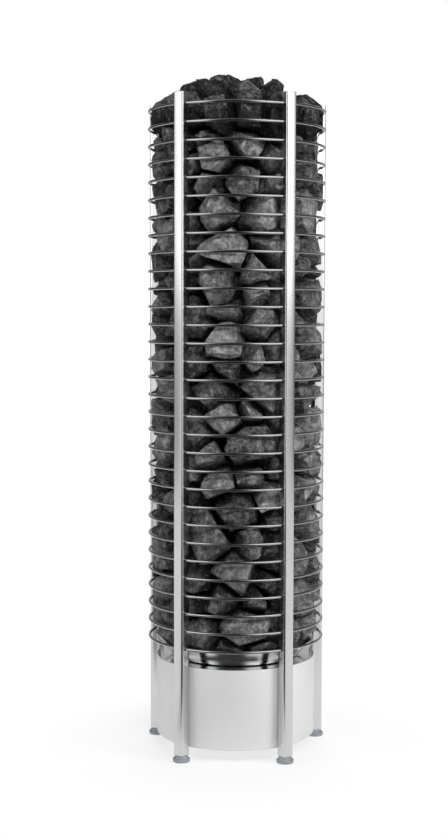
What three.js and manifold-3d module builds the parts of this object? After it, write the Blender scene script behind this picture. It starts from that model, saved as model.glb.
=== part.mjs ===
// A tall round sauna heater. Five square posts, threaded by wire rings, make a cage that holds a
// column of stones around upright heating elements. A round steel base stands between the posts,
// on five levelling feet. Millimetres, +Z up, front along -Y, origin on the floor under the axis.

import * as THREE from 'three';
import { mergeVertices } from 'three/addons/utils/BufferGeometryUtils.js';
import { ConvexGeometry } from 'three/addons/geometries/ConvexGeometry.js';
import Module from 'manifold-3d';

const wasm = await Module();
wasm.setup();

// Driving dimensions

const CLEARANCE = 0.3;
const OVERCUT = 1; // how far a cutting body runs past the face it opens

// Wire cage
const RING_RADIUS = 155; // to the middle of the wire
const RING_COUNT = 31;
const RING_PITCH = 31;
const RING_ABOVE_BASE = 34; // lowest ring over the top of the base
const WIRE_DIAMETER = 5;
const SEGMENTS_PER_BAY = 4; // straight stretches of a ring from one post to the next

// Posts
const POST_SIDES = ['front_right', 'side_right', 'rear', 'side_left', 'front_left'];
const POST_WIDTH = 20;
const POST_CHAMFER = 2;
const POST_ABOVE_RINGS = 19;

// Levelling feet
const PAD_DIAMETER = 30;
const PAD_HEIGHT = 7;
const PAD_EDGE = 1.5;
const COLLAR_DIAMETER = 22;
const COLLAR_HEIGHT = 4.5;
const STEM_DIAMETER = 8;
const STEM_LENGTH = 32;
const FOOT_SIDES = 10;
const BORE_SIDES = 8;

// Base
const BASE_FLOOR_GAP = 24;
const BASE_HEIGHT = 141;
const SHELL_WALL = 2;
const SHELL_LIP = 14; // inward lip that carries the bottom plate
const BOTTOM_PLATE = 2;
const ELEMENT_PLATE = 3;
const ROUND_SIDES = 30;

// Stone tray
const TRAY_HEIGHT = 31;
const TRAY_FLARE = 30; // how much wider the rim is than the floor
const TRAY_FLOOR_WIDTH = 20;
const TRAY_SHEET = 2;

// Heating elements
const ELEMENT_COUNT = 6;
const ELEMENT_CIRCLE_SHARE = 0.484; // circle of the legs, in cage radii
const ELEMENT_DIAMETER = 8.5;
const ELEMENT_HEADROOM = 25; // from the bends up to the crown of stones
const ELEMENT_TAIL = 40; // cold ends under the element plate
const ELEMENT_SIDES = 5;
const BEND_STEPS = 5;
const BUSH_DIAMETER = 14;
const BUSH_HEIGHT = 8;

// Connection space inside the base
const BLOCK_LENGTH = 62;
const BLOCK_WIDTH = 24;
const BLOCK_HEIGHT = 35;
const BLOCK_POLES = 5;
const BLOCK_RIB = 3;
const BLOCK_RIB_HEIGHT = 9;
const LEAD_DIAMETER = 5;
const LEAD_DROP = 16; // from an element's cold end down to the harness ring
const LEAD_SIDES = 3;
const GLAND_BORE = 14;
const GLAND_THREAD = 20;
const GLAND_NUT = 28;
const GLAND_NUT_HEIGHT = 5;
const GLAND_CAP_HEIGHT = 11;
const GLAND_CAP_TAPER = 3;
const GLAND_SIDES = 12;
const STUD_DIAMETER = 6;
const STUD_LENGTH = 22;
const STUD_HEAD = 12;
const STUD_HEAD_HEIGHT = 4;
const INLET_CIRCLE_SHARE = 0.613; // gland and earth stud, in cage radii from the axis
const INLET_ANGLE = 144; // degrees round from the front

// Stones
const STONE_WIDTH = 98;
const STONE_HEIGHT = 76;
const STONE_RELIEF = 24; // depth of the crevices between stones
const STONE_LAYERS = ['lower', 'middle', 'upper'];
const PILE_BELOW_TOP_RING = 44; // where the crown of loose stones starts
const CROWN_ABOVE_TOP_RING = 61;
const ELEMENT_SPACE = 4; // free space between the element bushes and the stones
const CORE_ROCK_HEIGHT = 180;
const CORE_ROCK_WIDTH = 1.4; // half width of a core rock before it is trimmed, in core radii
const CORE_ROCK_STACK = 0.9; // half height of a core rock, in rock heights
const CORE_SPINE = 0.5; // in core radii
const CROWN_BED = { out: 0.72, up: 0.3 }; // in pile radii and crown heights, as the rings are
const CROWN_RINGS = [ // rings of rocks from the cage to the middle, with their half sizes
  { count: 9, out: 0.72, up: 0.32, width: 0.34, height: 0.48 },
  { count: 4, out: 0.36, up: 0.54, width: 0.36, height: 0.44 },
  { count: 1, out: 0, up: 0.62, width: 0.34, height: 0.5 },
];
const CROWN_STRAY = 0.25; // uneven place of the crown rocks, in rock spacings
const CROWN_UNEVEN = 0.08; // uneven level, in crown heights
const CORE_SEED = 200;
const CROWN_SEED = 300;
const SEEDS_PER_RING = 20;
const ROCK_POINTS = 10;
const ROCK_ROUGHNESS = 0.24;
const CREVICE_SWING = 0.16; // zigzag of the crevices, in row heights
const CREVICE_WANDER = 0.09; // uneven height of their corners, in row heights
const CREVICE_SPREAD = 0.26; // uneven place of their corners, in half stones
const CREVICE_UNEVEN = 0.2; // uneven depth
const FACE_SHARE = 0.66; // how much of a stone its flat face takes
const FACE_UNEVEN = 0.16;
const FACE_BACK = 0.22; // how far the faces lie in from the cage, in crevice depths
const FACE_LEAN = 0.3; // steepest tilt of a face

// Sizes that follow

const SEGMENTS = POST_SIDES.length * SEGMENTS_PER_BAY;
const BAY = (2 * Math.PI) / POST_SIDES.length;
const HALF_SEGMENT = Math.PI / SEGMENTS;
const POST_CIRCLE = RING_RADIUS * Math.cos(HALF_SEGMENT); // where a ring's straight stretch runs
const POST_INSIDE = POST_CIRCLE - POST_WIDTH / 2;
const FOOT_HEIGHT = PAD_HEIGHT + COLLAR_HEIGHT;
const POST_BOTTOM = FOOT_HEIGHT + CLEARANCE;

const BASE_RADIUS = POST_INSIDE - CLEARANCE;
const BASE_TOP = BASE_FLOOR_GAP + BASE_HEIGHT;
const LOWEST_RING = BASE_TOP + RING_ABOVE_BASE;
const TOP_RING = LOWEST_RING + (RING_COUNT - 1) * RING_PITCH;
const POST_TOP = TOP_RING + POST_ABOVE_RINGS;

// A four-sided wire with the section area of the round one, and a hole that clears it all round
const WIRE_CORNER = (WIRE_DIAMETER / 2) * Math.sqrt(Math.PI / 2);
const HOLE_CORNER = WIRE_CORNER + CLEARANCE * Math.SQRT2;

const PLATE_RADIUS = BASE_RADIUS - SHELL_WALL - CLEARANCE;
const INLET_CIRCLE = INLET_CIRCLE_SHARE * RING_RADIUS;
const BOTTOM_PLATE_LOW = BASE_FLOOR_GAP + SHELL_WALL + CLEARANCE;
const BOTTOM_PLATE_TOP = BOTTOM_PLATE_LOW + BOTTOM_PLATE;
const ELEMENT_PLATE_LOW = BASE_TOP - ELEMENT_PLATE;
const BLOCK_LOW = BOTTOM_PLATE_TOP + CLEARANCE;
const BLOCK_FLOOR = BLOCK_LOW + BLOCK_HEIGHT - BLOCK_RIB_HEIGHT; // between the barrier ribs

const TRAY_FLOOR = BASE_TOP + CLEARANCE;
const TRAY_FLOOR_TOP = TRAY_FLOOR + TRAY_SHEET;
const TRAY_RIM = TRAY_FLOOR + TRAY_HEIGHT;
const TRAY_FOOT_RADIUS = BASE_RADIUS - TRAY_FLARE;
const TRAY_WALL = TRAY_SHEET * Math.hypot(1, TRAY_FLARE / TRAY_HEIGHT); // across, level with the floor

const HALF_ELEMENT = Math.PI / (2 * ELEMENT_COUNT);
const ELEMENT_CIRCLE = ELEMENT_CIRCLE_SHARE * RING_RADIUS;
const ELEMENT_DEPTH = ELEMENT_CIRCLE * Math.cos(HALF_ELEMENT); // axis to the plane of a U
const ELEMENT_HALF_SPAN = ELEMENT_CIRCLE * Math.sin(HALF_ELEMENT);
const ELEMENT_END = ELEMENT_PLATE_LOW - ELEMENT_TAIL;
const HARNESS_LEVEL = ELEMENT_END - LEAD_DROP;

const PILE_BOTTOM = TRAY_FLOOR_TOP + CLEARANCE;
const PILE_TOP = TOP_RING - PILE_BELOW_TOP_RING;
const PILE_RADIUS = POST_INSIDE - CLEARANCE;
const ELEMENT_TOP = PILE_TOP - ELEMENT_HEADROOM;
const STONES_PER_ROW = Math.round((2 * Math.PI * PILE_RADIUS) / STONE_WIDTH);
const PILE_BORE = (ELEMENT_CIRCLE + BUSH_DIAMETER / 2 + ELEMENT_SPACE) / Math.cos(Math.PI / STONES_PER_ROW);
const ROWS_PER_LAYER = Math.round((PILE_TOP - PILE_BOTTOM) / STONE_HEIGHT / STONE_LAYERS.length);
const STONE_ROWS = ROWS_PER_LAYER * STONE_LAYERS.length;
const ROW_HEIGHT = (PILE_TOP - PILE_BOTTOM) / STONE_ROWS;
const CROWN_BOTTOM = PILE_TOP + CLEARANCE;
const CROWN_TOP = TOP_RING + CROWN_ABOVE_TOP_RING;
const CORE_RADIUS = ELEMENT_DEPTH - BUSH_DIAMETER / 2 - ELEMENT_SPACE;

// Finishes

const finish = (color, roughness, metalness) => () =>
  new THREE.MeshStandardMaterial({ color, roughness, metalness });
const polishedSteel = finish(0xc9cacc, 0.22, 1);
const plainSteel = finish(0xa9abad, 0.45, 1);
const elementSheath = finish(0x5b554e, 0.5, 0.9);
const darkStone = finish(0x3a3b40, 0.95, 0);
const footPlastic = finish(0x8c9097, 0.6, 0);
const blackPlastic = finish(0x1d1d1f, 0.55, 0);
const paleCeramic = finish(0xe7e2d6, 0.6, 0);
const leadSleeve = finish(0xb8b4a8, 0.8, 0);
const brass = finish(0xb99a53, 0.35, 1);

// Geometry helpers

// One closed skin: shared corners merged and empty triangles dropped.
function weld(geometry) {
  const bare = geometry.clone();
  bare.deleteAttribute('normal');
  bare.deleteAttribute('uv');
  const merged = mergeVertices(bare, 1e-4);
  const kept = [];
  for (let i = 0; i < merged.index.count; i += 3) {
    const [a, b, c] = [0, 1, 2].map((corner) => merged.index.getX(i + corner));
    if (a !== b && b !== c && c !== a) kept.push(a, b, c);
  }
  merged.setIndex(kept);
  return merged;
}

function solid(geometry) {
  const welded = weld(geometry);
  return new wasm.Manifold(new wasm.Mesh({
    numProp: 3,
    vertProperties: new Float32Array(welded.attributes.position.array),
    triVerts: new Uint32Array(welded.index.array),
  }));
}

function geometryOf(manifold) {
  const mesh = manifold.getMesh();
  const geometry = new THREE.BufferGeometry();
  geometry.setAttribute('position', new THREE.BufferAttribute(mesh.vertProperties, 3));
  geometry.setIndex([...mesh.triVerts]);
  return geometry;
}

const join = (geometries) => geometryOf(geometries.map(solid).reduce((all, next) => all.add(next)));

// Around the axis: the front is 0, and angles grow towards the right side.
const around = (radius, angle) => [radius * Math.sin(angle), -radius * Math.cos(angle)];

// A regular outline with its first corner to the front, as a turned piece has.
function ngon(radius, sides, x = 0, y = 0) {
  return Array.from({ length: sides }, (_, i) => {
    const [right, back] = around(radius, (2 * Math.PI * i) / sides);
    return new THREE.Vector2(x + right, y + back);
  });
}

// The outline of a hole whose flats clear a round bar, however the bar is turned.
function holeFor(diameter, sides, x, y) {
  return ngon((diameter / 2 + CLEARANCE) / Math.cos(Math.PI / sides), sides, x, y);
}

// A flat outline with holes, raised from low to high.
function slab(outline, holes, low, high) {
  const shape = new THREE.Shape(outline);
  shape.holes = holes.map((hole) => new THREE.Path(hole));
  return new THREE.ExtrudeGeometry(shape, { depth: high - low, bevelEnabled: false })
    .translate(0, 0, low);
}

// A profile of [radius, height] pairs, listed upwards along its outside, turned about the Z axis.
function turned(profile, sides) {
  const points = profile.map(([radius, height]) => new THREE.Vector2(radius, height));
  return weld(new THREE.LatheGeometry(points, sides).rotateX(Math.PI / 2));
}

const turnedRing = (profile, sides) => turned([...profile, profile[0]], sides);

function rod(radius, sides, low, high, x = 0, y = 0) {
  return slab(ngon(radius, sides, x, y), [], low, high);
}

const ringHeight = (index) => LOWEST_RING + index * RING_PITCH;

// A repeatable value from -1 to 1 for any pair of whole numbers.
function noise(a, b) {
  const wave = Math.sin(a * 127.1 + b * 311.7 + 53.3) * 43758.5453;
  return 2 * (wave - Math.floor(wave)) - 1;
}

// Cage

function cageRing() {
  return weld(new THREE.TorusGeometry(RING_RADIUS, WIRE_CORNER, 4, SEGMENTS).rotateZ(HALF_SEGMENT));
}

// A post seen from its side has one hole for each ring. Its local -Y faces away from the axis.
function post() {
  const half = POST_WIDTH / 2;
  const low = -POST_CIRCLE - half - OVERCUT;
  const high = -POST_CIRCLE + half + OVERCUT;
  const side = [[low, POST_BOTTOM], [high, POST_BOTTOM], [high, POST_TOP], [low, POST_TOP]];
  const holes = Array.from({ length: RING_COUNT }, (_, i) =>
    ngon(HOLE_CORNER, 4, -POST_CIRCLE, ringHeight(i)));
  const drilled = slab(side.map((p) => new THREE.Vector2(...p)), holes, -half - OVERCUT, half + OVERCUT);
  const [across, along, upward] = [[0, 1, 0], [0, 0, 1], [1, 0, 0]].map((v) => new THREE.Vector3(...v));
  drilled.applyMatrix4(new THREE.Matrix4().makeBasis(across, along, upward));

  const cut = half - POST_CHAMFER;
  const section = [[-cut, -half], [cut, -half], [half, -cut], [half, cut],
    [cut, half], [-cut, half], [-half, cut], [-half, -cut]]
    .map(([x, y]) => new THREE.Vector2(x, y - POST_CIRCLE));
  const bar = slab(section, [], POST_BOTTOM - OVERCUT, POST_TOP + OVERCUT);
  const bore = slab(holeFor(STEM_DIAMETER, BORE_SIDES, 0, -POST_CIRCLE), [], POST_BOTTOM - OVERCUT,
    POST_BOTTOM + STEM_LENGTH);
  return geometryOf(solid(drilled).intersect(solid(bar)).subtract(solid(bore)));
}

// Pad, collar and threaded stem of a levelling foot, screwed fully home.
function foot() {
  const [pad, collar, stem] = [PAD_DIAMETER / 2, COLLAR_DIAMETER / 2, STEM_DIAMETER / 2];
  const stemTop = FOOT_HEIGHT + STEM_LENGTH;
  return turned([[0, 0], [pad - PAD_EDGE, 0], [pad, PAD_EDGE], [pad, PAD_HEIGHT], [collar, PAD_HEIGHT],
    [collar, FOOT_HEIGHT], [stem, FOOT_HEIGHT], [stem, stemTop], [0, stemTop]], FOOT_SIDES);
}

// Base

function baseShell() {
  const inside = BASE_RADIUS - SHELL_WALL;
  const lip = BASE_RADIUS - SHELL_LIP;
  const lipTop = BASE_FLOOR_GAP + SHELL_WALL;
  return turnedRing([[lip, BASE_FLOOR_GAP], [BASE_RADIUS, BASE_FLOOR_GAP], [BASE_RADIUS, BASE_TOP],
    [inside, BASE_TOP], [inside, lipTop], [lip, lipTop]], ROUND_SIDES);
}

const inletAngle = THREE.MathUtils.degToRad(INLET_ANGLE);
const glandPlace = around(INLET_CIRCLE, inletAngle);
const studPlace = around(INLET_CIRCLE, -inletAngle);

function bottomPlate() {
  const holes = [
    holeFor(GLAND_THREAD, GLAND_SIDES, ...glandPlace),
    holeFor(STUD_DIAMETER, BORE_SIDES, ...studPlace),
  ];
  return slab(ngon(PLATE_RADIUS, ROUND_SIDES), holes, BOTTOM_PLATE_LOW, BOTTOM_PLATE_TOP);
}

// Angles of the element legs, evenly spaced, two to an element.
const legAngles = Array.from({ length: 2 * ELEMENT_COUNT }, (_, i) => HALF_ELEMENT * (2 * i + 1));

function elementPlate() {
  const holes = legAngles.map((angle) =>
    holeFor(ELEMENT_DIAMETER, ELEMENT_SIDES, ...around(ELEMENT_CIRCLE, angle)));
  return slab(ngon(PLATE_RADIUS, ROUND_SIDES), holes, ELEMENT_PLATE_LOW, BASE_TOP);
}

// A flared ring of sheet that keeps the lowest stones in over the base.
function stoneTray() {
  const floorEdge = TRAY_FOOT_RADIUS - TRAY_FLOOR_WIDTH;
  const slope = TRAY_FLARE / TRAY_HEIGHT;
  const innerFoot = TRAY_FOOT_RADIUS + TRAY_SHEET * slope - TRAY_WALL;
  return turnedRing([[floorEdge, TRAY_FLOOR], [TRAY_FOOT_RADIUS, TRAY_FLOOR], [BASE_RADIUS, TRAY_RIM],
    [BASE_RADIUS - TRAY_WALL, TRAY_RIM], [innerFoot, TRAY_FLOOR_TOP], [floorEdge, TRAY_FLOOR_TOP]],
  ROUND_SIDES);
}

// Heating elements

// Up one leg, round the bend and down the other, with a step for each leg and the rest in the bend.
class ElementPath extends THREE.Curve {
  getPoint(t, target = new THREE.Vector3()) {
    const step = t * (BEND_STEPS + 2);
    const shoulder = ELEMENT_TOP - ELEMENT_DIAMETER / 2 - ELEMENT_HALF_SPAN;
    const turn = Math.PI * THREE.MathUtils.clamp((step - 1) / BEND_STEPS, 0, 1);
    const drop = Math.max(1 - step, step - 1 - BEND_STEPS, 0) * (shoulder - ELEMENT_END);
    const x = -ELEMENT_HALF_SPAN * Math.cos(turn);
    return target.set(x, -ELEMENT_DEPTH, shoulder + ELEMENT_HALF_SPAN * Math.sin(turn) - drop);
  }

  getPointAt(u, target) {
    return this.getPoint(u, target);
  }

  getTangentAt(u, target) {
    return this.getTangent(u, target);
  }
}

// A U of sheathed tube with a bush brazed on each leg, which bears on the element plate.
function heatingElement() {
  const section = new THREE.Shape(ngon(ELEMENT_DIAMETER / 2, ELEMENT_SIDES));
  const tube = new THREE.ExtrudeGeometry(section, { steps: BEND_STEPS + 2, extrudePath: new ElementPath() });
  const seat = BASE_TOP + CLEARANCE;
  const bushes = [-ELEMENT_HALF_SPAN, ELEMENT_HALF_SPAN].map((x) =>
    rod(BUSH_DIAMETER / 2, ELEMENT_SIDES, seat, seat + BUSH_HEIGHT, x, -ELEMENT_DEPTH));
  return join([tube, ...bushes]);
}

// Connection space

// A comb of barrier ribs with a terminal between each pair, at the rear under the harness.
function terminalBlock() {
  const floor = BLOCK_HEIGHT - BLOCK_RIB_HEIGHT;
  const pitch = (BLOCK_LENGTH - BLOCK_RIB) / BLOCK_POLES;
  const outline = [[BLOCK_LENGTH, 0]];
  for (let i = BLOCK_POLES; i >= 0; i -= 1) {
    const [left, right] = [i * pitch, i * pitch + BLOCK_RIB];
    outline.push([right, BLOCK_HEIGHT], [left, BLOCK_HEIGHT]);
    if (i > 0) outline.push([left, floor], [left - pitch + BLOCK_RIB, floor]);
  }
  outline.push([0, 0]);
  const face = outline.map(([x, z]) => new THREE.Vector2(x - BLOCK_LENGTH / 2, z));
  return slab(face, [], -BLOCK_WIDTH / 2, BLOCK_WIDTH / 2).rotateX(Math.PI / 2);
}

// Sleeved leads: a ring under the elements, a tail up to each cold end and one down to the block.
function wiringHarness() {
  const radius = LEAD_DIAMETER / 2;
  const loop = new THREE.TorusGeometry(ELEMENT_CIRCLE, radius, LEAD_SIDES, 2 * ELEMENT_COUNT)
    .rotateZ(HALF_ELEMENT).translate(0, 0, HARNESS_LEVEL);
  const tails = legAngles.map((angle) => rod(radius, LEAD_SIDES, HARNESS_LEVEL, ELEMENT_END - CLEARANCE,
    ...around(ELEMENT_CIRCLE, angle)));
  const drop = rod(radius, LEAD_SIDES, BLOCK_FLOOR + CLEARANCE, HARNESS_LEVEL, 0, ELEMENT_DEPTH);
  return join([loop, ...tails, drop]);
}

// Cap nut below the plate, thread through it and lock nut above it, all round one cable bore.
function cableGland() {
  const [bore, thread, nut] = [GLAND_BORE / 2, GLAND_THREAD / 2, GLAND_NUT / 2];
  const seat = BOTTOM_PLATE_LOW - CLEARANCE;
  const lock = BOTTOM_PLATE_TOP + CLEARANCE;
  const capLow = seat - GLAND_CAP_HEIGHT;
  return turnedRing([[bore, capLow], [nut - GLAND_CAP_TAPER, capLow], [nut, capLow + GLAND_CAP_TAPER],
    [nut, seat], [thread, seat], [thread, lock], [nut, lock], [nut, lock + GLAND_NUT_HEIGHT],
    [bore, lock + GLAND_NUT_HEIGHT]], GLAND_SIDES);
}

function earthStud() {
  const [stud, head] = [STUD_DIAMETER / 2, STUD_HEAD / 2];
  const seat = BOTTOM_PLATE_LOW - CLEARANCE;
  const nut = BOTTOM_PLATE_TOP + CLEARANCE;
  const top = seat + STUD_LENGTH;
  return turned([[0, seat - STUD_HEAD_HEIGHT], [head, seat - STUD_HEAD_HEIGHT], [head, seat], [stud, seat],
    [stud, nut], [head, nut], [head, nut + STUD_HEAD_HEIGHT], [stud, nut + STUD_HEAD_HEIGHT],
    [stud, top], [0, top]], BORE_SIDES);
}

// Stones

// The largest radius a stone may reach at a height: inside the tray's flare, then inside the posts.
function pileLimit(height) {
  const flare = (TRAY_RIM - height) * (TRAY_FLARE / TRAY_HEIGHT);
  const inTray = (BASE_RADIUS - TRAY_WALL - flare) * Math.cos(Math.PI / ROUND_SIDES);
  return height < TRAY_RIM + CLEARANCE ? inTray - CLEARANCE * Math.SQRT2 : PILE_RADIUS;
}

const HALF_STONES = 2 * STONES_PER_ROW; // crevice corners in one turn

// Crevice corners zigzag round the pile, like the joints between rows of staggered stones.
function crevice(row, k) {
  const column = (k + HALF_STONES) % HALF_STONES;
  const level = row === 0 || row === STONE_ROWS;
  const swing = (column - row) % 2 === 0 ? -CREVICE_SWING : CREVICE_SWING;
  const shift = level ? 0 : swing + CREVICE_WANDER * noise(row, column);
  const height = PILE_BOTTOM + (row + shift) * ROW_HEIGHT;
  const depth = STONE_RELIEF * (1 + CREVICE_UNEVEN * noise(row + 40, column));
  const angle = ((column + CREVICE_SPREAD * noise(row + 80, column)) * 2 * Math.PI) / HALF_STONES;
  return { angle, height, radius: Math.min(PILE_RADIUS - depth, pileLimit(height)) };
}

// The flat broken face of one stone, tilted its own way, inside its six crevice corners.
function stoneFace(row, k, corners) {
  const seed = row * HALF_STONES + k;
  const middleAngle = (k * 2 * Math.PI) / HALF_STONES;
  const middleHeight = corners.reduce((sum, corner) => sum + corner.height, 0) / corners.length;
  const stand = PILE_RADIUS - STONE_RELIEF * FACE_BACK * (1 + noise(seed, 1));
  return corners.map((corner, i) => {
    const wrapped = Math.atan2(Math.sin(corner.angle - middleAngle), Math.cos(corner.angle - middleAngle));
    const share = FACE_SHARE + FACE_UNEVEN * noise(seed, i + 4);
    const height = middleHeight + share * (corner.height - middleHeight);
    const lean = FACE_LEAN * (noise(seed, 2) * (height - middleHeight)
      + noise(seed, 3) * wrapped * share * PILE_RADIUS);
    const radius = Math.min(stand + lean, pileLimit(height));
    return { angle: middleAngle + share * wrapped, height, radius };
  });
}

// One layer of the pile: fused stones outside, and a free shaft for the elements inside.
function stoneLayer(layer) {
  const [first, last] = [layer * ROWS_PER_LAYER, (layer + 1) * ROWS_PER_LAYER];
  const lift = layer > 0 ? CLEARANCE : 0;
  const positions = [];
  const triangle = (...corners) => corners.forEach(({ angle, height, radius }) =>
    positions.push(...around(radius, angle), height));
  const quad = (a, b, c, d) => {
    triangle(a, b, c);
    triangle(a, c, d);
  };
  const joint = (row, k) => {
    const corner = crevice(row, k);
    return row === first ? { ...corner, height: corner.height + lift } : corner;
  };
  const shaft = (row, k) => ({ ...joint(row, k), radius: PILE_BORE });

  for (let row = first; row < last; row += 1) {
    for (let k = row % 2; k < HALF_STONES; k += 2) {
      const corners = [[row, k - 1], [row, k], [row, k + 1], [row + 1, k + 1], [row + 1, k], [row + 1, k - 1]]
        .map(([r, column]) => joint(r, column));
      const face = stoneFace(row, k, corners);
      corners.forEach((corner, i) => {
        const next = (i + 1) % corners.length;
        quad(corner, corners[next], face[next], face[i]);
        if (i > 0 && next > 0) triangle(face[0], face[i], face[next]);
      });
    }
  }
  for (let k = 0; k < HALF_STONES; k += 1) {
    quad(joint(first, k + 1), joint(first, k), shaft(first, k), shaft(first, k + 1));
    quad(shaft(first, k + 1), shaft(first, k), shaft(last, k), shaft(last, k + 1));
    quad(shaft(last, k), joint(last, k), joint(last, k + 1), shaft(last, k + 1));
  }
  const geometry = new THREE.BufferGeometry();
  geometry.setAttribute('position', new THREE.Float32BufferAttribute(positions, 3));
  return weld(geometry);
}

// A broken rock: points spread over an ellipsoid, pushed in here and there, under one tight skin.
function rock(centre, size, seed, limit) {
  const golden = Math.PI * (3 - Math.sqrt(5));
  const points = Array.from({ length: ROCK_POINTS }, (_, i) => {
    const up = 1 - (2 * (i + 0.5)) / ROCK_POINTS;
    const flat = Math.sqrt(1 - up * up);
    const reach = 1 - ROCK_ROUGHNESS * (1 + noise(seed, i));
    const turn = golden * i + seed;
    const spread = new THREE.Vector3(flat * Math.cos(turn), flat * Math.sin(turn), up);
    return limit(spread.multiplyScalar(reach).multiply(size).add(centre));
  });
  return new ConvexGeometry(points);
}

// Keeps a point inside an upright cylinder and between two levels.
const within = (radius, low, high) => (point) => {
  const far = Math.hypot(point.x, point.y);
  const pull = far > radius ? radius / far : 1;
  return point.set(point.x * pull, point.y * pull, THREE.MathUtils.clamp(point.z, low, high));
};

// A stack of rocks inside the ring of elements, packed round a spine that stands on the element plate.
function stoneCore() {
  const low = BASE_TOP + CLEARANCE;
  const count = Math.round((ELEMENT_TOP - low) / CORE_ROCK_HEIGHT);
  const pitch = (ELEMENT_TOP - low) / count;
  const width = CORE_ROCK_WIDTH * CORE_RADIUS;
  const size = new THREE.Vector3(width, width, CORE_ROCK_STACK * pitch);
  const limit = within(CORE_RADIUS, low, ELEMENT_TOP);
  const spine = rod(CORE_SPINE * CORE_RADIUS, ELEMENT_SIDES, low, ELEMENT_TOP);
  return join([spine, ...Array.from({ length: count }, (_, i) =>
    rock(new THREE.Vector3(0, 0, low + (i + 0.5) * pitch), size, CORE_SEED + i, limit))]);
}

// The heap on top: rings of rocks around one in the middle, on a bed that they all sink into.
function stoneCrown() {
  const rise = CROWN_TOP - CROWN_BOTTOM;
  const limit = within(PILE_RADIUS, CROWN_BOTTOM, CROWN_TOP);
  const bedTop = CROWN_BOTTOM + CROWN_BED.up * rise;
  const bed = rod(CROWN_BED.out * PILE_RADIUS, STONES_PER_ROW, CROWN_BOTTOM, bedTop);
  const rocks = CROWN_RINGS.flatMap((ring, order) => Array.from({ length: ring.count }, (_, i) => {
    const seed = CROWN_SEED + SEEDS_PER_RING * order + i;
    const angle = ((i + CROWN_STRAY * noise(seed, ROCK_POINTS)) * 2 * Math.PI) / ring.count;
    const level = CROWN_BOTTOM + rise * (ring.up + CROWN_UNEVEN * noise(seed, ROCK_POINTS + 1));
    const centre = new THREE.Vector3(...around(ring.out * PILE_RADIUS, angle), level);
    const width = ring.width * PILE_RADIUS;
    return rock(centre, new THREE.Vector3(width, width, ring.height * rise), seed, limit);
  }));
  return join([bed, ...rocks]);
}

// Assembly

const heater = new THREE.Group();

function place(name, geometry, material, turn = 0, position = [0, 0, 0]) {
  const mesh = new THREE.Mesh(geometry, material());
  mesh.name = name;
  mesh.rotation.z = turn;
  mesh.position.set(...position);
  heater.add(mesh);
}

const ringGeometry = cageRing();
for (let i = 0; i < RING_COUNT; i += 1) {
  const number = String(i + 1).padStart(2, '0');
  place(`cage_ring_${number}`, ringGeometry, polishedSteel, 0, [0, 0, ringHeight(i)]);
}

const postGeometry = post();
const footGeometry = foot();
POST_SIDES.forEach((side, i) => {
  const turn = BAY * (i + 0.5);
  place(`post_${side}`, postGeometry, polishedSteel, turn);
  place(`foot_${side}`, footGeometry, footPlastic, turn, [...around(POST_CIRCLE, turn), 0]);
});

place('base_shell', baseShell(), polishedSteel);
place('bottom_plate', bottomPlate(), plainSteel);
place('element_plate', elementPlate(), plainSteel);
place('stone_tray', stoneTray(), polishedSteel);

const elementGeometry = heatingElement();
for (let i = 0; i < ELEMENT_COUNT; i += 1) {
  place(`heating_element_${i + 1}`, elementGeometry, elementSheath, 4 * HALF_ELEMENT * i);
}

place('terminal_block', terminalBlock(), paleCeramic, 0, [0, ELEMENT_DEPTH, BLOCK_LOW]);
place('wiring_harness', wiringHarness(), leadSleeve);
place('cable_gland', cableGland(), blackPlastic, 0, [...glandPlace, 0]);
place('earth_stud', earthStud(), brass, 0, [...studPlace, 0]);

STONE_LAYERS.forEach((level, i) => {
  place(`stone_layer_${level}`, stoneLayer(i), darkStone);
});
place('stone_core', stoneCore(), darkStone);
place('stone_crown', stoneCrown(), darkStone);

export default heater;
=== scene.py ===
"""Looks of a tall round sauna heater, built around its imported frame.

The frame holds the solids and how they move. This script dresses them: bright wire rings on square
posts, a round steel base on levelling feet, and a column of dark broken stones.
Metres, +Z up, front along -Y.
"""

import logging
import math
from contextlib import contextmanager
from dataclasses import dataclass, field
from enum import Enum
from typing import Any, Callable, Iterator, Optional, Protocol, Sequence, Union

import bmesh
import bpy
import numpy as np
from mathutils import Matrix, Vector


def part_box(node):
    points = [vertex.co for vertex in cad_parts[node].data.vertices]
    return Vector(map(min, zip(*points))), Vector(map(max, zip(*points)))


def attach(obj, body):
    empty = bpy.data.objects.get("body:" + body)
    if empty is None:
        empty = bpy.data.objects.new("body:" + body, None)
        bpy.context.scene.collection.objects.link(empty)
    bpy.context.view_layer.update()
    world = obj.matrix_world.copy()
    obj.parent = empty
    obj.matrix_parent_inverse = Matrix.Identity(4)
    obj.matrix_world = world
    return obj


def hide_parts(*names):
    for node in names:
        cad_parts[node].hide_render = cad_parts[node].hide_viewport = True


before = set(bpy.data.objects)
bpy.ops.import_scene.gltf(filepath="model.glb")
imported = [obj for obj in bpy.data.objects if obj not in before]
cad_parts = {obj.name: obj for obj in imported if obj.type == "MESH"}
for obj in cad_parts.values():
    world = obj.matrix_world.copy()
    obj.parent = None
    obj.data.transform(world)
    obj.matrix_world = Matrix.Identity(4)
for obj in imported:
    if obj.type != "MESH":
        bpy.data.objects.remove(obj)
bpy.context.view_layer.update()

log = logging.getLogger("heater")

UP = Vector((0, 0, 1))
FULL_TURN = 2 * math.pi
MERGE = 1e-5
SIDES = ("front_right", "side_right", "rear", "side_left", "front_left")
MAIN_BODY = "heater"

Piece = bpy.types.Object
Point = tuple[float, float]
Colour = tuple[float, float, float, float]


class Slot(Enum):
    """Material slots of the record."""

    WIRE = "wire_steel"
    POST = "post_steel"
    BASE = "base_steel"
    PLATE = "plate_steel"
    SHEATH = "element_sheath"
    STONE = "stone"
    FOOT = "foot_metal"
    CERAMIC = "block_ceramic"
    SLEEVE = "lead_sleeve"
    BRASS = "stud_brass"
    PLASTIC = "gland_plastic"


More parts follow.
